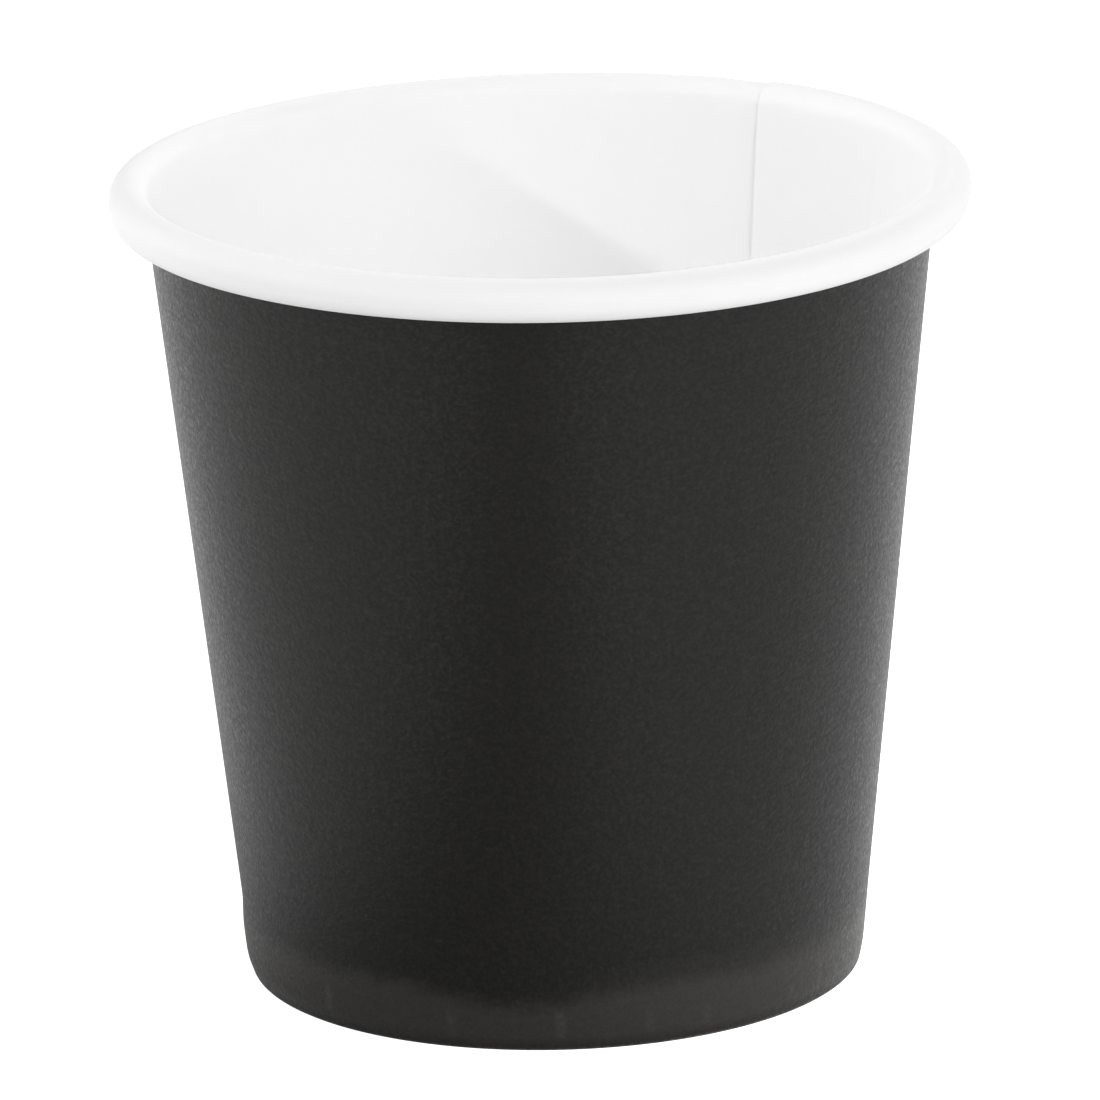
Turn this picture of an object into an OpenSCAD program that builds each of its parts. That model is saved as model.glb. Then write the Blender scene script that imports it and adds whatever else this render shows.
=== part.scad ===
// Single-wall paper espresso cup, made of two pieces of board.
// side_wall: a fan-shaped blank wrapped to a cone, lapped and glued down one seam,
//   curled outwards into the rolled rim and folded inwards round the foot.
// bottom_disc: a round of board whose edge is turned down as a skirt, which sits
//   in the fold of the foot. The floor is therefore well above the table.
// Origin: centre of the ring the cup stands on. +Z is up.

/* [Cup] */
// Outer diameter over the rolled rim
rim_d = 62; // [58:0.5:66]
// Height from the table to the top of the rim
cup_h = 59; // [48:0.5:75]
// Outer diameter of the wall at the table
foot_d = 44.3; // [40:0.1:48]

/* [Board] */
// Thickness of the board
board_t = 0.3; // [0.2:0.02:0.36]
// Gap between layers that lie on each other
layer_gap = 0.06; // [0.06:0.01:0.1]

/* [Rolled rim] */
// Width of the roll, from the inside of the cup to its outer edge
roll_w = 2.95; // [2.7:0.05:3.4]
// Straight run down the outside of the roll
roll_run = 0.3; // [0.1:0.05:0.8]

/* [Side seam] */
// Direction of the cut edge inside the cup, from +X
seam_angle = 55; // [0:1:359]
// Angle over which the two ends of the blank lie on each other
lap_angle = 13; // [8:1:20]
// Thickness lost where the two layers are pressed together
lap_squeeze = 0.02; // [0.01:0.01:0.06]

/* [Foot] */
// Inner radius of the fold that the cup stands on
fold_r = 0.03; // [0.02:0.005:0.035]
// Height of the hem that is turned up inside the foot
hem_h = 5; // [3:0.5:8]
// Height between the edge of the hem and the underside of the floor
floor_gap = 0.6; // [0.4:0.1:2]
// Inner radius of the bend between floor and skirt
floor_r = 0.4; // [0.3:0.05:0.6]

/* [Hidden] */
$fn = 120;
board_black = "#34312f";
board_white = "#f3f2ef";
// Largest step along a bend, in degrees
arc_step = 15;

// Taper of the wall from upright, so that it meets both the foot and the roll
roll_r = roll_w / 2;
reach = rim_d / 2 - roll_r - foot_d / 2;
rise = cup_h - roll_r;
taper = acos((roll_r - board_t) / norm([reach, rise])) - atan2(rise, reach);
inner_r0 = foot_d / 2 - board_t / cos(taper);

// Layers at the foot, as depths from the inner face of the wall
skirt_x = -layer_gap - board_t;
hem_x = skirt_x - layer_gap - board_t;
floor_z = hem_h + floor_gap;

// Fold at the foot: a level strip between two bends, one up the wall, one up the hem
fold_z = board_t + fold_r;
wall_bend_r = radius(-fold_r, fold_z);
hem_bend_r = radius(hem_x + board_t + fold_r, fold_z);
strip_end = 0.02;

// Roll: two half turns of falling radius, then a quarter turn tucked inside
roll_y = up(roll_r, rise);
run_y = roll_y - roll_run;

// Distance up the slope of the wall, at depth x and height z
function up(x, z) = (z + x * sin(taper)) / cos(taper);

// Radius from the axis, at depth x and height z
function radius(x, z) = inner_r0 + z * tan(taper) + x / cos(taper);

// Radius and height of a point at depth x and distance y up the slope
function on_slope(p) = [
    inner_r0 + p.x * cos(taper) + p.y * sin(taper),
    p.y * cos(taper) - p.x * sin(taper)
];

// Points along a bend about a centre
function bend(centre, r, from, to) =
    let (steps = ceil(abs(to - from) / arc_step))
    [for (i = [0:steps]) let (a = from + (to - from) * i / steps) centre + r * [cos(a), sin(a)]];

// One face of the curled rim, a depth into the board from its white face
function roll_face(thick, depth) =
    let (
        low_r = roll_r - (thick + layer_gap) / 2,
        tuck_r = roll_r - thick - layer_gap
    )
    concat(
        bend([roll_r, roll_y], roll_r - depth, 180, 0),
        bend([2 * roll_r - low_r, run_y], low_r - depth, 0, -180),
        bend([roll_r, roll_y], tuck_r - depth, 180, 90)
    );

// Outline of the wall, its roll and its side of the fold, for a board of any thickness.
// Where two layers reach the foot they are pressed flat, level with the table.
function wall_outline(thick) =
    let (
        bend_centre = [wall_bend_r, fold_z],
        white = concat(
            [[hem_bend_r + strip_end, board_t]],
            bend(bend_centre, fold_r, -90, -taper),
            [for (p = roll_face(thick, 0)) on_slope(p)]
        ),
        table_a = -asin(fold_z / (fold_r + thick)),
        black = concat(
            [[hem_bend_r + strip_end, 0]],
            bend(bend_centre, fold_r + thick, table_a, -taper),
            [for (p = roll_face(thick, thick)) on_slope(p)]
        )
    )
    concat(white, reversed(black));

// Outline of the hem inside the foot and its side of the fold
function hem_outline() =
    let (
        bend_centre = [hem_bend_r, fold_z],
        top_y = up(hem_x, hem_h)
    )
    concat(
        [[wall_bend_r - strip_end, board_t]],
        bend(bend_centre, fold_r, -90, -180 - taper),
        [on_slope([hem_x + board_t, top_y]), on_slope([hem_x, top_y])],
        bend(bend_centre, fold_r + board_t, -180 - taper, -90),
        [[wall_bend_r - strip_end, 0]]
    );

// Outline of the floor, from its centre over the bend to the edge of the skirt
function disc_outline() =
    let (
        bend_z = floor_z - floor_r,
        bend_centre = [radius(skirt_x - floor_r, bend_z), bend_z],
        edge_y = up(-layer_gap, board_t + layer_gap)
    )
    concat(
        [[0, floor_z + board_t]],
        bend(bend_centre, floor_r + board_t, 90, -taper),
        [on_slope([-layer_gap, edge_y]), on_slope([skirt_x, edge_y])],
        bend(bend_centre, floor_r, -taper, 90),
        [[0, floor_z]]
    );

function reversed(points) = [for (i = [len(points) - 1:-1:0]) points[i]];

// The board winds round as a spiral of one turn: a half turn about the axis, then a
// half turn about a centre half a board away, which brings it outside its own start.
module side_wall() {
    spiral_shift = board_t / 2;
    lap_t = 2 * board_t - lap_squeeze;
    color(board_black)
        rotate(seam_angle) {
            rotate_extrude()
                polygon(hem_outline());
            rotate_extrude(start = 180, angle = 180 - lap_angle)
                polygon(wall_outline(board_t));
            translate([spiral_shift, 0])
                rotate_extrude(start = 0, angle = 180)
                    translate([spiral_shift, 0])
                        polygon(wall_outline(board_t));
            rotate_extrude(start = -lap_angle, angle = lap_angle)
                polygon(wall_outline(lap_t));
        }
}

module bottom_disc() {
    color(board_white)
        rotate_extrude()
            polygon(disc_outline());
}

side_wall();
bottom_disc();
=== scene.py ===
# %% [markdown]
# A paper espresso cup.
# The cup is two pieces of board. A fan-shaped blank, printed black on one side, is wrapped
# to a cone, lapped down one seam, curled outwards at the rim and folded inwards at the foot.
# A white disc sits above that fold and makes the floor.
# The CAD frame has the same two pieces with coarse facets. They could be kept and painted,
# but the lap, the curl and the pressed foot are only tenths of a millimetre deep, so both
# pieces are built again here with finer steps, from the frame's own sizes.

# %% Load the frame
import math

import bmesh
import bpy
from mathutils import Matrix, Vector


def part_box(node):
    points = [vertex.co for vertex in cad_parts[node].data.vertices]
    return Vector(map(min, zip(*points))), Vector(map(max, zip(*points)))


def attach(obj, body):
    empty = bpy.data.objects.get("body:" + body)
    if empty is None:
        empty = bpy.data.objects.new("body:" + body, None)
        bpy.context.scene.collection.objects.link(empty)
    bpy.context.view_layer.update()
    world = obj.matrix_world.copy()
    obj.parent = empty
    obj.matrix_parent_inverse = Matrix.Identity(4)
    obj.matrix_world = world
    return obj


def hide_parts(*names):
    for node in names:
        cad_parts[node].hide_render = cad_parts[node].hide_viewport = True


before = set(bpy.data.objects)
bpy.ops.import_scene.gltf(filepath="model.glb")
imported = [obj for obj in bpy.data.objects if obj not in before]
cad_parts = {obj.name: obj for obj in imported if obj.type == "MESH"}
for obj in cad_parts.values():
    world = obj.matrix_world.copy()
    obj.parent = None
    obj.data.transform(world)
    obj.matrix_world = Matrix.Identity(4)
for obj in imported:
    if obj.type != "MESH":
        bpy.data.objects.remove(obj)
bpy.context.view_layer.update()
MM = 0.001


def put_in_scene(name, data):
    """A new object with this data, linked to the scene."""
    made = bpy.data.objects.new(name, data)
    bpy.context.scene.collection.objects.link(made)
    return made


print("frame nodes:", sorted(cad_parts))

# %% [markdown]
# Camera. A product photographer stands well back with a long lens, so that the rim and the
# foot look almost like true ellipses. The distance, height and slight roll of the camera
# were fitted to the outline of the rim and the foot. It could look at the cup with a Track To
# constraint, but the roll and the small offset are easier to read as three plain axes.

# %% Camera
camera_distance = 967.9 * MM
camera_elevation = math.radians(16.153)
camera_roll = math.radians(-1.278)
aim_height = 30 * MM
aim_right = -0.134 * MM
aim_up = -0.739 * MM
focal_pixels = 13411
image_pixels = 1100
sensor_mm = 36
seen_from, seen_to = 0.01, 20


def make_camera():
    """A camera in front of the cup, at -Y, that looks slightly down on it."""
    back = Vector((0, -math.cos(camera_elevation), math.sin(camera_elevation)))
    place = Vector((0, 0, aim_height)) + back * camera_distance
    level = (-back).cross(Vector((0, 0, 1))).normalized()
    upright = level.cross(-back)
    right = level * math.cos(camera_roll) + upright * math.sin(camera_roll)
    up = upright * math.cos(camera_roll) - level * math.sin(camera_roll)
    ahead = (-back * camera_distance - right * aim_right - up * aim_up).normalized()
    right = (right - ahead * right.dot(ahead)).normalized()
    up = right.cross(ahead)

    lens = bpy.data.cameras.new("camera")
    lens.sensor_width = sensor_mm
    lens.lens = focal_pixels / image_pixels * sensor_mm
    lens.clip_start, lens.clip_end = seen_from, seen_to
    camera = put_in_scene("camera", lens)
    camera.matrix_world = Matrix.Translation(place) @ Matrix((right, up, -ahead)).transposed().to_4x4()
    bpy.context.scene.camera = camera
    return camera


camera = make_camera()
print("camera lens in mm:", round(camera.data.lens, 1))

# %% [markdown]
# Sizes. The rim's radius and the cup's height come from the frame. The rest are the same
# driving values that the solids have, in millimetres, but for the roll, which on this cup is
# a sixth of a millimetre slimmer than the nominal one and runs straight down a little further.
# They could be measured on the frame's solids, but a dozen named values are easier to change.

# %% Sizes
wall_low, wall_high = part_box("side_wall")
slim_roll = 0.16
rim_r = -wall_low.y / MM - slim_roll
cup_h = wall_high.z / MM
foot_r = 22.15
board_t = 0.3
layer_gap = 0.06
nominal_roll_w = 2.95
roll_w = nominal_roll_w - slim_roll
roll_run = 0.53
run_wave = 0.07
fold_r = 0.03
hem_h = 5
floor_gap = 0.6
floor_r = 0.4
print("radius of the rim and height in mm:", round(rim_r, 2), round(cup_h, 2))

# %% [markdown]
# Slope of the wall. The wall is a cone that runs smoothly into the roll, and that sets its
# taper. Places on it could be written as a radius and a height, but then the board's thickness
# would need a correction everywhere. They are easier to write on the wall's own slope: how deep
# into the board, and how far up the slope.

# %% Places on the slope
roll_r = roll_w / 2
reach = rim_r - roll_r - foot_r
rise = cup_h - roll_r
taper = math.acos((roll_r - board_t) / math.hypot(reach, rise)) - math.atan2(rise, reach)
taper_deg = math.degrees(taper)
inner_r0 = foot_r - board_t / math.cos(taper)


def up_slope(depth, z):
    """Distance up the slope, at a depth into the board and a height."""
    return (z + depth * math.sin(taper)) / math.cos(taper)


def radius_at(depth, z):
    """Radius from the cup's axis, at a depth into the board and a height."""
    return inner_r0 + z * math.tan(taper) + depth / math.cos(taper)


def on_slope(depth, y):
    """Radius and height of a place on the slope."""
    return (
        inner_r0 + depth * math.cos(taper) + y * math.sin(taper),
        y * math.cos(taper) - depth * math.sin(taper),
    )


def bend(centre, r, start, stop, steps):
    """Places along a bend about a centre, between two angles in degrees."""
    angles = [math.radians(start + (stop - start) * i / steps) for i in range(steps + 1)]
    return [(centre[0] + r * math.cos(a), centre[1] + r * math.sin(a)) for a in angles]


def ease(x, start, stop):
    """0 before start, 1 after stop, and a smooth rise between them."""
    t = min(max((x - start) / (stop - start), 0), 1)
    return t * t * (3 - 2 * t)


print("taper of the wall in degrees:", round(taper_deg, 3))

# %% [markdown]
# Side seam. The blank winds round as a spiral. One end lies under the other for 13 degrees,
# and then the outer end comes down beside the inner end's cut edge. On the white side this is
# a small step with a shadow beside it, which runs from the rim to the floor.
# It could be a bump in the material, but a real step also shows in the roll and in the outline.
# Here each angle round the cup, counted from the inner cut edge, has a depth for each face.

# %% Depths of the two faces round the seam
seam_angle = 55
lap_angle = 13
lap_squeeze = 0.02
climb_angle = 10
lap_t = 2 * board_t - lap_squeeze
seam_step = lap_t - board_t
fold_fade = (0.6, 6)
roll_keep = 0.6
edge_lift = 0.045
lift_angle = 1.0
lift_rows = (30, 52)
least_lift = 0.3
dent_turn = 334
dent_half = 1.4
dent_depth = 0.10
dent_rows = (46, 50)
roll_start = 56.5
roll_fade = 1.5


def climb(turn):
    """How far the outer end still rides on the inner end: 1 at the cut edge, 0 past the climb."""
    return (1 - min(turn / climb_angle, 1)) ** 2


def white_depth(turn, y):
    """Depth of the white face. It drops past the cut edge, but not where it is folded. Just before
    the edge it lifts a little, most of all near the rim, and well before it is one soft dent."""
    below_roll = 1 - ease(y, roll_start - roll_fade, roll_start)
    curled = least_lift + (1 - least_lift) * ease(y, *lift_rows)
    lift = edge_lift * curled * max(turn - 360 + lift_angle, 0) / lift_angle
    dent = dent_depth * ease(dent_half - abs(turn - dent_turn), 0, dent_half) * ease(y, *dent_rows)
    return (seam_step * climb(turn) - (lift - dent) * below_roll) * ease(y, *fold_fade)


def black_depth(turn, in_lap):
    """Depth of the printed face, which is two boards deep in the lap."""
    return lap_t if in_lap else board_t + seam_step * climb(turn)


print("step at the seam in mm:", round(seam_step, 2))

# %% [markdown]
# Rolled rim. The forming tool curls the top of the blank outwards and down, and tucks its
# edge inside. The white face is outside on the roll. Where the lap runs into it there are two
# layers to curl, so the roll is a little fatter there, and just beside the cut edge it dips.
# A torus would be quicker, but it has no straight run, no tucked end and no swelling.

# %% Section of the rolled rim
roll_y = up_slope(roll_r, rise)
roll_swell = 0.28
swell_before = 30
swell_after = 5
swell_down = 0.8
top_steps, low_steps, tuck_steps = 18, 12, 4


def swell(turn):
    """Extra radius of the roll near the lap."""
    before = ease(turn, 360 - swell_before, 360 - lap_angle / 2)
    after = 1 - ease(turn, 0, swell_after)
    return roll_swell * max(before, after)


def roll_face(turn, depth):
    """One face of the roll, as places on the slope, a depth into the board."""
    fat_r = roll_r + swell(turn)
    coil = board_t + (lap_t - board_t) * swell(turn) / roll_swell
    low_r = fat_r - (coil + layer_gap) / 2
    tuck_r = fat_r - coil - layer_gap
    centre_y = roll_y - swell(turn) * swell_down
    run = roll_run + run_wave * math.cos(math.radians(2 * (turn + seam_angle)))
    return (
        bend((fat_r, centre_y), fat_r - depth, 180, 0, top_steps)
        + bend((2 * fat_r - low_r, centre_y - run), low_r - depth, 0, -180, low_steps)
        + bend((fat_r, centre_y), tuck_r - depth, 180, 90, tuck_steps)
    )


print("rows of the roll:", len(roll_face(0, 0)), "width of the roll in mm:", round(roll_w, 2))

# %% [markdown]
# Foot. The board is folded inwards round the bottom and pressed flat against the skirt of the
# floor disc, so the foot is a band that stands slightly proud of the wall. The section of the
# whole wall is one closed loop: the white face from the hem to the tucked end, and the
# printed face back again. Each place on it also knows which finish it has. The rows of places
# up the wall could be even, but they are only close together where the foot is pressed and
# where the seam's edge and the dent rise.

# %% Section of the whole wall
WHITE, PRINT, EDGE = 0, 1, 2
hem_x = -2 * (layer_gap + board_t)
fold_z = board_t + fold_r
wall_bend = (radius_at(-fold_r, fold_z), fold_z)
hem_bend = (radius_at(hem_x + board_t + fold_r, fold_z), fold_z)
hem_y = up_slope(hem_x, hem_h)
white_rows = [1, 2, 4, 7, 11, 16, 22, 28, 34, 40, 44, 46, 48, 50, 52.5, 55, 56]
foot_rows = [0.5 + 0.25 * i for i in range(22)]
black_rows = foot_rows + [7, 8.5, 10, 13, 17, 22, 27, 32, 37, 42, 47, 51, 54]
fold_steps = 4


def section(turn, in_lap):
    """The closed loop of the wall at one angle: (radius, height, finish of the next stretch,
    whether it is on the outer wall, distance along the board)."""
    drop = white_depth(turn, roll_y)
    thick = black_depth(turn, in_lap)
    white = [on_slope(hem_x + board_t, hem_y)]
    white += bend(hem_bend, fold_r, -180 - taper_deg, -90, fold_steps)
    white += bend(wall_bend, fold_r, -90, -taper_deg, fold_steps)
    white += [on_slope(white_depth(turn, y), y) for y in white_rows]
    white += [on_slope(*p) for p in roll_face(turn, drop * roll_keep)]
    black = [on_slope(hem_x, hem_y)]
    black += bend(hem_bend, fold_r + board_t, -180 - taper_deg, -90, fold_steps)
    black += [(r, max(z, 0)) for r, z in bend(wall_bend, fold_r + thick, -90, -taper_deg, fold_steps)]
    outer = range(len(black) - fold_steps, len(black) + len(black_rows))
    black += [on_slope(thick, y) for y in black_rows]
    rolled = drop * roll_keep + (thick - drop)
    black += [on_slope(*p) for p in roll_face(turn, rolled)]

    up = [(r, z, WHITE, False, s) for (r, z), s in zip(white, along(white))]
    down = [(r, z, PRINT, i in outer, s) for i, ((r, z), s) in enumerate(zip(black, along(black)))]
    return end_cut(up) + end_cut(down[::-1])


def end_cut(side):
    """A side of the loop, with the cut edge of the board as the stretch after its last place."""
    r, z, _, outer, s = side[-1]
    return side[:-1] + [(r, z, EDGE, outer, s)]


def along(path):
    """Distance along a path at each of its places."""
    lengths = [0.0]
    for p, q in zip(path, path[1:]):
        lengths.append(lengths[-1] + math.dist(p, q))
    return lengths


print("places round one section:", len(section(0, False)))

# %% [markdown]
# Shape of this cup. A paper cup is never quite round. The rim here is a hair wider along one
# direction and rises and falls a fifth of a millimetre, and the foot was pressed out more on
# one side. A lattice could bend the finished mesh, but a rule for each place is exact and
# leaves nothing live on the piece.

# %% How this cup differs from a true cone
oval_angle = 20
rim_oval = 0.003
rim_lift = 0.204
flare_out = 0.12
flare_bias = 0.8
flare_angle = 180
flare_rows = (3, 6)
round_under = 0.12
round_rows = (-0.4, 1.6)


def settle(angle, r, z, outer):
    """The place after the cup's own small errors, from a true section's radius and height."""
    high = (z / cup_h) ** 2
    wave = math.cos(math.radians(2 * (angle - oval_angle)))
    if outer:
        lean = 1 + flare_bias * math.cos(math.radians(angle - flare_angle))
        upright = ease(z, *round_rows)
        r += flare_out * lean * (1 - ease(z, *flare_rows)) * upright
        r -= round_under * (1 - upright)
    r *= 1 + rim_oval * wave * high
    z += rim_lift * wave * high
    a = math.radians(angle)
    return (r * math.cos(a) * MM, r * math.sin(a) * MM, z * MM)


print("highest place of the rim in mm:", round(settle(oval_angle, 0, cup_h, False)[2] / MM, 3))

# %% [markdown]
# Wall mesh. The sections stand round the axis and quads join each to the next. At the two cut
# edges there are two sections at the same angle, one for each side of the step, and the quads
# between them are the cut edge itself. A Screw modifier would be shorter, but it can't change
# the section on the way.

# %% Build the wall
turns_plain, turns_lap = 578, 22
blank_length = 160.2


def turns():
    """Angles from the inner cut edge, each with whether it is in the lap."""
    lap_start = 360 - lap_angle
    plain = [(lap_start * i / turns_plain, False) for i in range(turns_plain + 1)]
    return plain + [(lap_start + lap_angle * i / turns_lap, True) for i in range(turns_lap + 1)]


def build_wall():
    """A closed mesh of the side wall, with its finish, outer face and board map stored on it."""
    stations = turns()
    loops = [section(turn, lap) for turn, lap in stations]
    count = len(loops[0])
    places, outside = [], []
    for (turn, _), loop in zip(stations, loops):
        for r, z, _, outer, _ in loop:
            places.append(settle(seam_angle + turn, r, z, outer))
            outside.append(outer)
    faces, finishes, maps = [], [], []
    for i, (turn, lap) in enumerate(stations):
        j = (i + 1) % len(stations)
        cut_here = j == 0 or stations[j][1] != lap
        end_turn = 360 if j == 0 else stations[j][0]
        for k in range(count):
            m = (k + 1) % count
            faces.append((i * count + k, i * count + m, j * count + m, j * count + k))
            finishes.append(EDGE if cut_here else loops[i][k][2])
            ends = (loops[i][k][4], loops[i][m][4])
            us = (turn / 360, turn / 360, end_turn / 360, end_turn / 360)
            vs = (ends[0], ends[1], ends[1], ends[0])
            maps.extend((u, v / blank_length) for u, v in zip(us, vs))

    mesh = bpy.data.meshes.new("cup_wall")
    mesh.from_pydata(places, [], faces)
    mesh.attributes.new("finish", "INT", "FACE").data.foreach_set("value", finishes)
    mesh.attributes.new("outer", "FLOAT", "POINT").data.foreach_set("value", [float(o) for o in outside])
    board = mesh.uv_layers.new(name="board")
    board.data.foreach_set("uv", [c for uv in maps for c in uv])
    return mesh


wall_mesh = build_wall()
print("points of the wall:", len(wall_mesh.vertices))

# %% [markdown]
# Closing a mesh. Where the two sections at a cut edge agree, their points lie on each other,
# and a real solid has one point there. They could be left, but the faces between them have no
# area, and the shading breaks beside them. So doubles are merged, all faces are turned outwards,
# and edges sharper than the bends of the board are marked sharp, for crisp cut edges on a smooth
# wall.

# %% Close the wall
merge_gap = 0.0005
sharp_deg = 38


def close_up(mesh):
    """Merges doubles, turns the faces outwards and marks the sharp edges."""
    work = bmesh.new()
    work.from_mesh(mesh)
    bmesh.ops.remove_doubles(work, verts=work.verts, dist=merge_gap * MM)
    bmesh.ops.recalc_face_normals(work, faces=work.faces)
    for face in work.faces:
        face.smooth = True
    for edge in work.edges:
        edge.smooth = len(edge.link_faces) == 2 and edge.calc_face_angle() < math.radians(sharp_deg)
    open_edges = sum(len(edge.link_faces) != 2 for edge in work.edges)
    work.to_mesh(mesh)
    work.free()
    return open_edges


print("open edges of the wall:", close_up(wall_mesh), "faces:", len(wall_mesh.polygons))

# %% [markdown]
# Shader maths. A finish is a node tree, and a long one is hard to read as nodes and links.
# This small class stands for one output socket. Python's operators on it add Math nodes, so a
# mask can be written as 1 - mask * 0.5. Every other node comes from its node method.

# %% A socket that does maths


class Signal:
    """One output socket of a node tree."""

    def __init__(self, socket):
        self.socket = socket

    @staticmethod
    def node(tree, kind, settings=None, sockets=None, out=0):
        """Adds a node: first its settings, then the values or links of its sockets."""
        made = tree.nodes.new(kind)
        for name, value in (settings or {}).items():
            setattr(made, name, value)
        for name, value in (sockets or {}).items():
            if isinstance(value, Signal):
                tree.links.new(value.socket, made.inputs[name])
            else:
                made.inputs[name].default_value = value
        return Signal(made.outputs[out])

    def maths(self, operation, *values):
        """A Math node on this signal and up to two more values."""
        sockets = dict(enumerate((self, *values)))
        return Signal.node(self.socket.id_data, "ShaderNodeMath", {"operation": operation}, sockets)

    def rise(self, start, stop):
        """0 before start, 1 after stop, and a smooth rise between them."""
        ends = {"Value": self, "From Min": start, "From Max": stop}
        return Signal.node(
            self.socket.id_data, "ShaderNodeMapRange", {"interpolation_type": "SMOOTHSTEP"}, ends
        )

    def __add__(self, other):
        return self.maths("ADD", other)

    __radd__ = __add__

    def __mul__(self, other):
        return self.maths("MULTIPLY", other)

    __rmul__ = __mul__

    def __sub__(self, other):
        return self.maths("SUBTRACT", other)

    def __rsub__(self, other):
        return (self * -1) + other

    def __truediv__(self, other):
        return self.maths("DIVIDE", other)


# %% [markdown]
# Materials in general. Each finish starts from Principled BSDF. Numbers that are the same all
# over are set on its own sockets, and only colour, roughness and the normal vary. Patterns
# that follow the board read its own map, where one unit is the length of the blank, and
# patterns that belong to a height on the cup read the object's coordinates.

# %% Helpers for finishes


def new_finish(name, **constants):
    """A material with a Principled shader, and its tree."""
    material = bpy.data.materials.new(name)
    material.use_nodes = True
    shader = material.node_tree.nodes["Principled BSDF"]
    for socket, value in constants.items():
        shader.inputs[socket.replace("_", " ")].default_value = value
    return material, material.node_tree, shader


def board_place(tree, along_scale, up_scale):
    """The board's own map in millimetres, stretched by a scale in each direction."""
    place = Signal.node(tree, "ShaderNodeUVMap", {"uv_map": "board"})
    size = (blank_length * along_scale, blank_length * up_scale, 1)
    return Signal.node(tree, "ShaderNodeVectorMath", {"operation": "MULTIPLY"}, {0: place, 1: size})


def noise(tree, place, scale, detail=2, roughness=0.5):
    """A noise pattern between 0 and 1."""
    sockets = {"Vector": place, "Scale": scale, "Detail": detail, "Roughness": roughness}
    return Signal.node(tree, "ShaderNodeTexNoise", {}, sockets)


def mix_colour(tree, share, first, second):
    """A colour between two colours."""
    return Signal.node(tree, "ShaderNodeMix", {"data_type": "RGBA"}, {0: share, 6: first, 7: second}, 2)


def part_of(place, axis):
    """One coordinate of a place."""
    return Signal.node(place.socket.id_data, "ShaderNodeSeparateXYZ", {}, {0: place}, out=axis)


def cup_mm(tree, axis):
    """A coordinate on the cup in millimetres. Z is the height above the table."""
    return part_of(Signal.node(tree, "ShaderNodeTexCoord", out="Object"), axis) / MM


def feed(tree, shader, **signals):
    """Links signals to the shader's sockets of the same names."""
    for socket, signal in signals.items():
        tree.links.new(signal.socket, shader.inputs[socket.replace("_", " ")])


def bumped(tree, shader, height, depth_mm):
    """Feeds the shader's normal from a height pattern."""
    sockets = {"Height": height, "Distance": depth_mm * MM, "Strength": 1.0}
    feed(tree, shader, Normal=Signal.node(tree, "ShaderNodeBump", {}, sockets))


# %% [markdown]
# Black print. The outside is board with a matt black print. Close up it isn't flat black: the
# ink is thinner on the tops of the fibres, so it has a fine grain, and the board has a tooth of
# a few hundredths of a millimetre, which breaks up the sheen at the sides. Round the foot a band
# is painted lighter and a little less rough, with a soft uneven edge that comes lower near the
# middle, and on the right a second, fainter edge stands higher. Where the fold turns under, the
# ink cracks. Painted textures would be quicker, but each of these follows a rule for nodes.

# %% Finish of the printed side
ink = (0.0006, 0.0003, 0.0000, 1)
ink_light = (0.0272, 0.0242, 0.0208, 1)
ink_band = (0.0310, 0.0290, 0.0265, 1)
ink_worn = (0.1300, 0.1200, 0.1100, 1)
band_height = 4.6
band_soft = 1.0
band_ragged = 1.6
band_dip = 1.1
second_edge_height = 6.3
second_edge_soft = 0.5
crack_height = 0.3
dip_x = -3
dip_rows = (1, 9)
right_rows = (-2, 10)
tooth_mm = 0.09


def black_print():
    """Matt black ink on board."""
    material, tree, shader = new_finish("matt_black_print", IOR=1.33, Specular_IOR_Level=0.56)
    fibre = noise(tree, board_place(tree, 1, 0.9), scale=1.7, detail=3, roughness=0.75)
    fleck = noise(tree, board_place(tree, 0.9, 0.9), scale=3.6, detail=2, roughness=0.6)
    blotch = noise(tree, board_place(tree, 0.8, 1), scale=0.55, detail=3, roughness=0.6)
    streak = noise(tree, board_place(tree, 1, 0.1), scale=1.6, detail=3, roughness=0.6)
    grain = fibre.rise(0.42, 0.70) * 0.4 + fleck.rise(0.42, 0.70) * 0.5 + streak.rise(0.45, 0.75) * 0.1
    mottle = grain * 0.9 + blotch.rise(0.45, 0.75) * 0.1

    x, z = cup_mm(tree, "X"), cup_mm(tree, "Z")
    right = x.rise(*right_rows)
    middle = 1 - (x - dip_x).maths("ABSOLUTE").rise(*dip_rows)
    level = (blotch - 0.5) * band_ragged + middle * band_dip + z
    # A band round the foot is painted lighter; on the right a second, fainter edge stands higher.
    low_band = 1 - level.rise(band_height - band_soft, band_height + band_soft)
    right_band = (1 - level.rise(second_edge_height - second_edge_soft, second_edge_height + second_edge_soft)) * right
    band = (low_band * 0.8 + right_band * 0.2) * (0.4 + 0.6 * z.rise(0.2, 1.3))
    pressed = Signal.node(tree, "ShaderNodeAttribute", {"attribute_name": "pressed"}, out="Fac")
    crack = noise(tree, board_place(tree, 1, 1), scale=2.0, detail=3).rise(0.42, 0.60)
    worn = (1 - z.rise(0.05, crack_height)) * crack * (0.4 + 0.5 * right)

    colour = mix_colour(tree, mottle * 0.52, ink, ink_light)
    colour = mix_colour(tree, band * (0.80 + 0.4 * grain), colour, ink_band)
    colour = mix_colour(tree, pressed * (0.08 + 0.2 * grain), colour, ink_worn)
    colour = mix_colour(tree, worn, colour, ink_worn)
    feed(tree, shader, Base_Color=colour, Roughness=0.44 - mottle * 0.25 - band * 0.03)
    tooth = noise(tree, board_place(tree, 0.75, 1.2), scale=1.9, detail=2, roughness=0.7)
    bumped(tree, shader, tooth * 0.5 + fleck * 0.2 + blotch * 0.3, tooth_mm)
    return material


black_side = black_print()
print("nodes in the black print:", len(black_side.node_tree.nodes))
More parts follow.
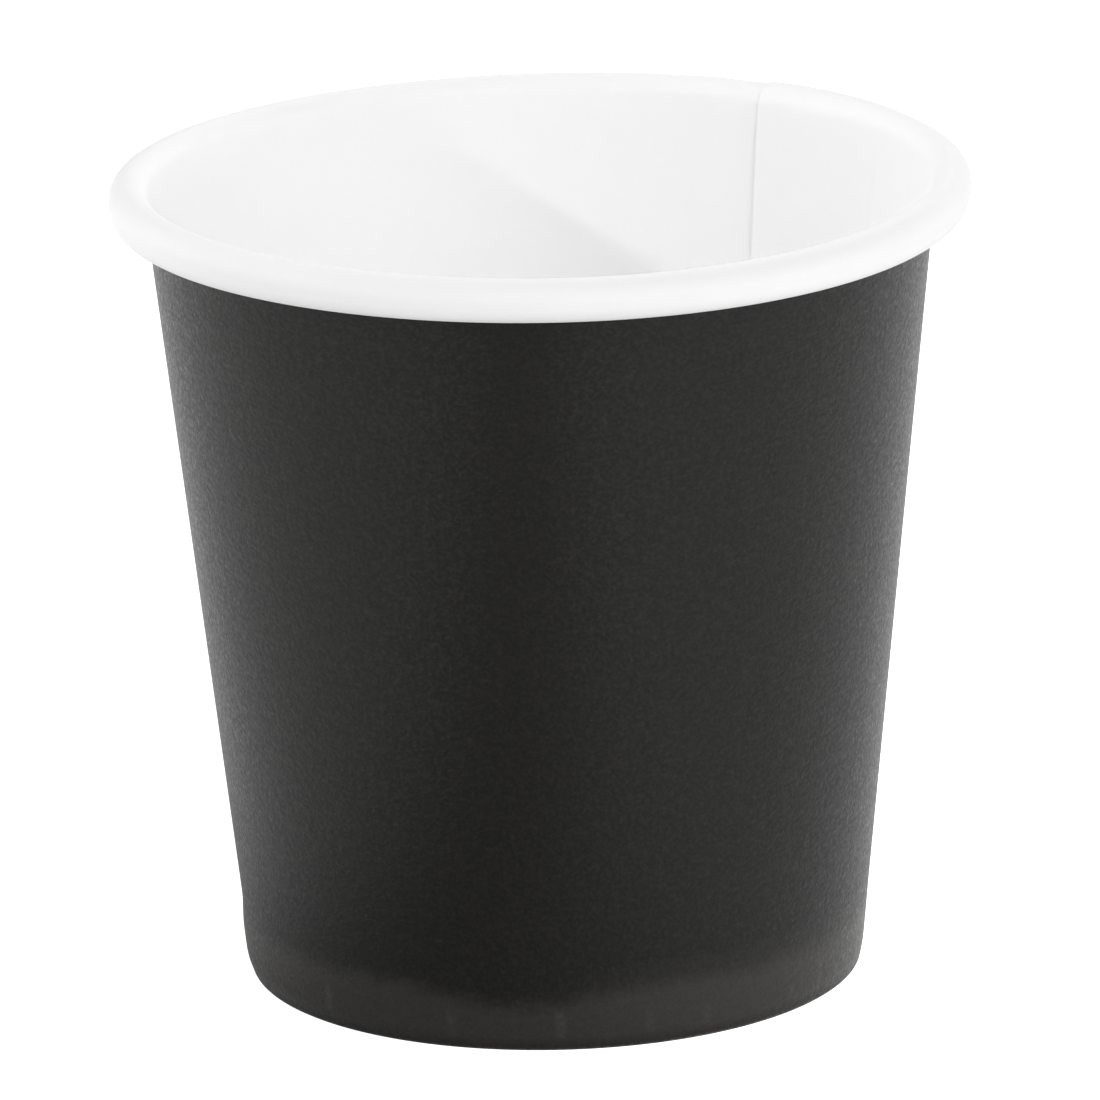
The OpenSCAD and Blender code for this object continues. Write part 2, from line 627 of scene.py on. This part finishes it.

# %% [markdown]
# White coated board. The inside and the roll are the coated side of the board: neutral white
# with hardly any gloss. Under the coating are faint fibre clouds. The roll is painted greyer
# than the inside, as painted shade, since the lamps light the roll more than the inside of the
# cup, and it has fine hairlines across it. The place where the roll starts is easiest to find
# on the board's own map, by the distance from the hem, because height alone can't tell the
# roll from the wall beside it.

# %% Finish of the white side
coat_white = (0.965, 0.965, 0.965, 1)
coat_shade = (0.900, 0.900, 0.899, 1)
# Painted shade: the roll's grey darkens the rim, which the lamps light more than the inside of the cup.
roll_painted_shade = (0.835, 0.835, 0.835, 1)
roll_rows = (62.5, 66.5)
coat_relief_mm = 0.008


def white_coat():
    """White board under a thin coating."""
    material, tree, shader = new_finish("white_coated_board", IOR=1.5, Specular_IOR_Level=0.2)
    cloud = noise(tree, board_place(tree, 1, 1), scale=0.35, detail=3)
    fibre = noise(tree, board_place(tree, 1, 0.5), scale=3.0, detail=3, roughness=0.6)
    hair = noise(tree, board_place(tree, 1, 0.04), scale=2.2).rise(0.70, 0.78)
    rolled = part_of(board_place(tree, 1, 1), "Y").rise(*roll_rows)
    # Painted shade on the roll: it is mixed towards the greyer colour.
    colour = mix_colour(tree, rolled, coat_white, roll_painted_shade)
    shade = cloud.rise(0.35, 0.7) * 0.12 + fibre.rise(0.35, 0.7) * 0.08 + hair * rolled * 0.4
    colour = mix_colour(tree, shade, colour, coat_shade)
    feed(tree, shader, Base_Color=colour, Roughness=0.50 + fibre * 0.14)
    bumped(tree, shader, fibre * 0.3 + cloud * 0.7, coat_relief_mm)
    return material


white_side = white_coat()
print("nodes in the white coat:", len(white_side.node_tree.nodes))

# %% [markdown]
# Cut edge. Where the board is cut, the print and the coating stop and the raw fibres show:
# warmer, duller and rougher than the coated face. It is only a third of a millimetre wide, so
# one layer of fine noise is enough.

# %% Finish of the cut edges
pulp = (0.780, 0.755, 0.710, 1)
pulp_shade = (0.640, 0.605, 0.550, 1)
pulp_relief_mm = 0.02


def raw_edge():
    """The cut edge of the board."""
    material, tree, shader = new_finish("raw_board_edge", Specular_IOR_Level=0.2)
    fibre = noise(tree, board_place(tree, 1, 1), scale=4.0, detail=3, roughness=0.7)
    colour = mix_colour(tree, fibre.rise(0.35, 0.7), pulp, pulp_shade)
    feed(tree, shader, Base_Color=colour, Roughness=0.8 + fibre * 0.2)
    bumped(tree, shader, fibre, pulp_relief_mm)
    return material


finishes_of_board = {WHITE: white_side, PRINT: black_side, EDGE: raw_edge()}
print("finishes:", [m.name for m in finishes_of_board.values()])

# %% [markdown]
# Press marks. The tool that squeezes the foot has ribs, and they leave short upright dents all
# round the band, some clear and some hardly there. They could be modelled one by one, but they
# repeat, so a Geometry Nodes tree presses them into the outer face: the circle is cut into
# cells, each cell gets a seeded random place, height and strength, and the points in it move
# inwards. The strength is also stored, for the ink to look rubbed there.

# %% Geometry Nodes tree that presses the foot
press_inputs = [
    ("Marks", "NodeSocketInt", 38),
    ("Width", "NodeSocketFloat", 1.1 * MM),
    ("Depth", "NodeSocketFloat", 0.03 * MM),
    ("Lowest", "NodeSocketFloat", 1.0 * MM),
    ("Highest", "NodeSocketFloat", 3.7 * MM),
    ("Seed", "NodeSocketInt", 4),
]
sideways_range = (0.2, 0.8)
top_spread = 1.2 * MM
low_fade = (-0.3 * MM, 0.4 * MM)
top_fade = 0.8 * MM
faint_to_clear = (0.25, 1)


def press_tree():
    """The tree, and the identifier of each of its named inputs."""
    tree = bpy.data.node_groups.new("press_foot", "GeometryNodeTree")
    tree.interface.new_socket("Wall", in_out="INPUT", socket_type="NodeSocketGeometry")
    keys = {
        name: tree.interface.new_socket(name, in_out="INPUT", socket_type=kind).identifier
        for name, kind, _ in press_inputs
    }
    tree.interface.new_socket("Wall", in_out="OUTPUT", socket_type="NodeSocketGeometry")
    given = tree.nodes.new("NodeGroupInput")
    wall, marks, width, depth, lowest, highest, seed = (Signal(s) for s in given.outputs[:7])

    place = Signal.node(tree, "GeometryNodeInputPosition")
    x, y, z = (part_of(place, axis) for axis in "XYZ")
    r = (x * x + y * y).maths("SQRT")
    cells = (y.maths("ARCTAN2", x) / math.tau + 0.5) * marks
    cell = cells.maths("FLOOR")

    def chance(least, most, salt):
        """A random value for each cell."""
        sockets = {2: least, 3: most, "ID": cell, "Seed": seed + salt}
        return Signal.node(tree, "FunctionNodeRandomValue", {"data_type": "FLOAT"}, sockets, 1)

    sideways = (cells - cell - chance(*sideways_range, 1)) * (r * math.tau / marks)
    across = 1 - sideways.maths("ABSOLUTE").rise(0.0, width * 0.5)
    top = highest - chance(0, top_spread, 2)
    upright = z.rise(lowest + low_fade[0], lowest + low_fade[1]) * (1 - z.rise(top - top_fade, top))
    outer = Signal.node(tree, "GeometryNodeInputNamedAttribute", {"data_type": "FLOAT"}, {0: "outer"})
    strength = across * upright * outer * chance(0, 1, 3).rise(*faint_to_clear)

    inwards = strength * depth / r * -1
    offset = Signal.node(tree, "ShaderNodeCombineXYZ", {}, {0: x * inwards, 1: y * inwards})
    moved = Signal.node(tree, "GeometryNodeSetPosition", {}, {"Geometry": wall, "Offset": offset})
    sockets = {"Geometry": moved, "Name": "pressed", "Value": strength}
    stored = Signal.node(
        tree, "GeometryNodeStoreNamedAttribute", {"data_type": "FLOAT", "domain": "POINT"}, sockets
    )
    plain = Signal.node(tree, "GeometryNodeRealizeInstances", {}, {"Geometry": stored})
    finish = Signal.node(tree, "GeometryNodeInputNamedAttribute", {"data_type": "INT"}, {0: "finish"})
    for number, material in finishes_of_board.items():
        here = Signal.node(
            tree, "FunctionNodeCompare", {"data_type": "INT", "operation": "EQUAL"}, {2: finish, 3: number}
        )
        sockets = {"Geometry": plain, "Selection": here, "Material": material}
        plain = Signal.node(tree, "GeometryNodeSetMaterial", {}, sockets)
    result = tree.nodes.new("NodeGroupOutput")
    tree.links.new(plain.socket, result.inputs[0])
    return tree, keys


press_group, press_keys = press_tree()
print("press tree:", len(press_group.nodes), "nodes, inputs", sorted(press_keys))

# %% [markdown]
# Turning a live modifier into a plain mesh. The tree's inputs are set by their identifiers
# before anything is evaluated. Then the evaluated object gives a mesh with all of it applied,
# and the modifier goes. What is left is an ordinary piece at the origin.

# %% Make the wall piece


def make_wall(mesh):
    """The side wall as a finished piece."""
    for material in finishes_of_board.values():
        mesh.materials.append(material)
    rough = put_in_scene("rough_wall", mesh)
    press = rough.modifiers.new("press_foot", "NODES")
    press.node_group = press_group
    for name, _, value in press_inputs:
        press[press_keys[name]] = value
    graph = bpy.context.evaluated_depsgraph_get()
    pressed = bpy.data.meshes.new_from_object(rough.evaluated_get(graph), depsgraph=graph)
    rough.modifiers.remove(press)
    bpy.data.objects.remove(rough)
    return put_in_scene("cup_wall", pressed)


cup_wall = make_wall(wall_mesh)
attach(cup_wall, "root")
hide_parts("side_wall")
print("wall finishes:", [m.name for m in cup_wall.data.materials], "faces:", len(cup_wall.data.polygons))

# %% [markdown]
# Floor disc. A round of the same board, white on both sides, with its edge turned down as a
# skirt. The floor isn't quite flat: the skirt pulls it down a little at the edge, and the
# punch that seats it leaves a shallow ring. From the photograph's side it is hidden, but it
# shows from above and from below. It is turned about the axis from one short outline.

# %% Build the floor disc
floor_z = hem_h + floor_gap
skirt_x = -layer_gap - board_t
disc_turns = 240
floor_rings = 24
floor_bends = 6
ring_r = 17.5
ring_w = 1.6
ring_depth = 0.12
crown = 0.25


def floor_shape(r):
    """Height of the floor over its edge: a low crown with a ring pressed into it."""
    edge_r = radius_at(skirt_x - floor_r, floor_z)
    dome = crown * (1 - (r / edge_r) ** 2)
    ring = ring_depth * (1 - ease(abs(r - ring_r), 0, ring_w))
    return dome - ring


def disc_faces():
    """Upper and lower faces of the disc, from the axis to the edge of the skirt."""
    bend_z = floor_z - floor_r
    centre = (radius_at(skirt_x - floor_r, bend_z), bend_z)
    edge_y = up_slope(-layer_gap, board_t + layer_gap)
    radii = [centre[0] * i / floor_rings for i in range(floor_rings)]
    upper = [(r, floor_z + board_t + floor_shape(r)) for r in radii]
    upper += bend(centre, floor_r + board_t, 90, -taper_deg, floor_bends)
    upper += [on_slope(-layer_gap, edge_y)]
    lower = [(r, floor_z + floor_shape(r)) for r in radii]
    lower += bend(centre, floor_r, 90, -taper_deg, floor_bends)
    lower += [on_slope(skirt_x, edge_y)]
    return upper, lower


def build_disc():
    """A closed mesh of the floor disc: out over the upper face, back under the lower one, and a
    fan of triangles round each pole."""
    upper, lower = disc_faces()
    path = upper[1:] + lower[:0:-1]
    cut = len(upper) - 2
    count = len(path)
    places, faces, finishes = [], [], []
    for i in range(disc_turns):
        angle = 360 * i / disc_turns
        places += [settle(angle, r, z, False) for r, z in path]
        j = (i + 1) % disc_turns
        for k in range(count - 1):
            faces.append((i * count + k, j * count + k, j * count + k + 1, i * count + k + 1))
            finishes.append(EDGE if k == cut else WHITE)
    top_pole = disc_turns * count
    for pole, k in ((top_pole, 0), (top_pole + 1, count - 1)):
        for i in range(disc_turns):
            faces.append((pole, i * count + k, (i + 1) % disc_turns * count + k))
            finishes.append(WHITE)
    places += [settle(0, *upper[0], False), settle(0, *lower[0], False)]
    mesh = bpy.data.meshes.new("cup_floor")
    mesh.from_pydata(places, [], faces)
    board = mesh.uv_layers.new(name="board")
    for loop in mesh.loops:
        place = mesh.vertices[loop.vertex_index].co
        board.data[loop.index].uv = (place.x / MM / blank_length, place.y / MM / blank_length)
    mesh.materials.append(finishes_of_board[WHITE])
    mesh.materials.append(finishes_of_board[EDGE])
    mesh.polygons.foreach_set("material_index", [0 if f == WHITE else 1 for f in finishes])
    return mesh


disc_mesh = build_disc()
print("open edges of the disc:", close_up(disc_mesh), "faces:", len(disc_mesh.polygons))
cup_floor = put_in_scene("cup_floor", disc_mesh)
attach(cup_floor, "root")
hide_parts("bottom_disc")

# %% [markdown]
# Table and surroundings. The photograph is taken on plain white with no visible shadow, as on
# a light table. The black wall leans over the table and mirrors it, so the table's brightness
# sets how dark the wall looks: the photograph shows it darkest left of the middle and lighter
# to both sides. The table glows in three zones to match. What the camera sees directly is
# pushed to full white, through the Light Path node, and the surroundings too. White paper
# could be lit instead, but then lights strong enough to whiten it would burn out the rim.

# %% Table and surroundings
table_r = 6
table_sides = 96
table_grey = (0.4, 0.4, 0.4, 1)
white_light = (1, 1, 1, 1)
glow_left, glow_middle, glow_right = 0.72, 0.10, 0.80
middle_x = (-0.055, -0.02, 0.04)
seen_glow = 0.9
seen_sky = 1.05


def make_table():
    """A large pale disc under the cup."""
    mesh = bpy.data.meshes.new("table")
    work = bmesh.new()
    bmesh.ops.create_circle(work, cap_ends=True, segments=table_sides, radius=table_r)
    work.to_mesh(mesh)
    work.free()
    table = put_in_scene("table", mesh)
    material, tree, shader = new_finish("pale_table", Roughness=1.0, Specular_IOR_Level=0.0)
    shader.inputs["Base Color"].default_value = table_grey
    shader.inputs["Emission Color"].default_value = white_light
    x = part_of(Signal.node(tree, "ShaderNodeTexCoord", out="Object"), "X")
    direct = Signal.node(tree, "ShaderNodeLightPath", out="Is Camera Ray")
    left = 1 - x.rise(*middle_x[:2])
    right = x.rise(*middle_x[1:])
    glow = left * (glow_left - glow_middle) + right * (glow_right - glow_middle) + glow_middle
    tree.links.new((glow + direct * seen_glow).socket, shader.inputs["Emission Strength"])
    mesh.materials.append(material)


def make_sky():
    """Surroundings that the camera sees as white, but that light nothing."""
    world = bpy.data.worlds.new("studio")
    world.use_nodes = True
    bpy.context.scene.world = world
    tree = world.node_tree
    direct = Signal.node(tree, "ShaderNodeLightPath", out="Is Camera Ray")
    back = tree.nodes["Background"]
    back.inputs["Color"].default_value = white_light
    tree.links.new((direct * seen_sky).socket, back.inputs["Strength"])


make_table()
make_sky()
bpy.context.scene.view_settings.view_transform = "Standard"
print("table radius in m:", table_r)

# %% [markdown]
# Studio lights. Five softboxes a metre across stand round the cup. The two behind it give
# the broad sheen down both edges of the print, and the three in front fill the inside and the
# rim. One small lamp stands low on the left: it is small, so the near rim throws a crisp
# slanting shadow on the far wall. The strength of each could be found by eye, but rendering the
# cup once for each light, and adding those pictures up until the sum matched the photograph's
# tones, came closer. A few small steps finished it.

# %% Studio lights
lights = {
    "front_box": {"angle": -90, "elevation": 52, "power": 3.9},
    "front_right_box": {"angle": -60, "elevation": 30, "power": 3.8},
    "right_box": {"angle": -30, "elevation": 30, "power": 2.6},
    "right_back_box": {"angle": 60, "elevation": 30, "power": 6.5},
    "left_back_box": {"angle": 150, "elevation": 30, "power": 6.8},
    "left_key": {"angle": 200, "elevation": 21.5, "power": 4.9, "distance": 1.6, "size": 0.07},
}


def make_light(name, angle, elevation, power, distance=1.0, size=1.0):
    """A square light that faces the middle of the cup, a metre away and a metre wide by default."""
    lamp = bpy.data.lights.new(name, "AREA")
    lamp.shape = "SQUARE"
    lamp.size = size
    lamp.energy = power
    a, e = math.radians(angle), math.radians(elevation)
    towards = Vector((math.cos(a) * math.cos(e), math.sin(a) * math.cos(e), math.sin(e)))
    box = put_in_scene(name, lamp)
    box.location = towards * distance + Vector((0, 0, cup_h * MM / 2))
    box.rotation_mode = "QUATERNION"
    box.rotation_quaternion = towards.to_track_quat("Z", "Y")


for name, light in lights.items():
    make_light(name, **light)
print("lights:", sorted(lights))
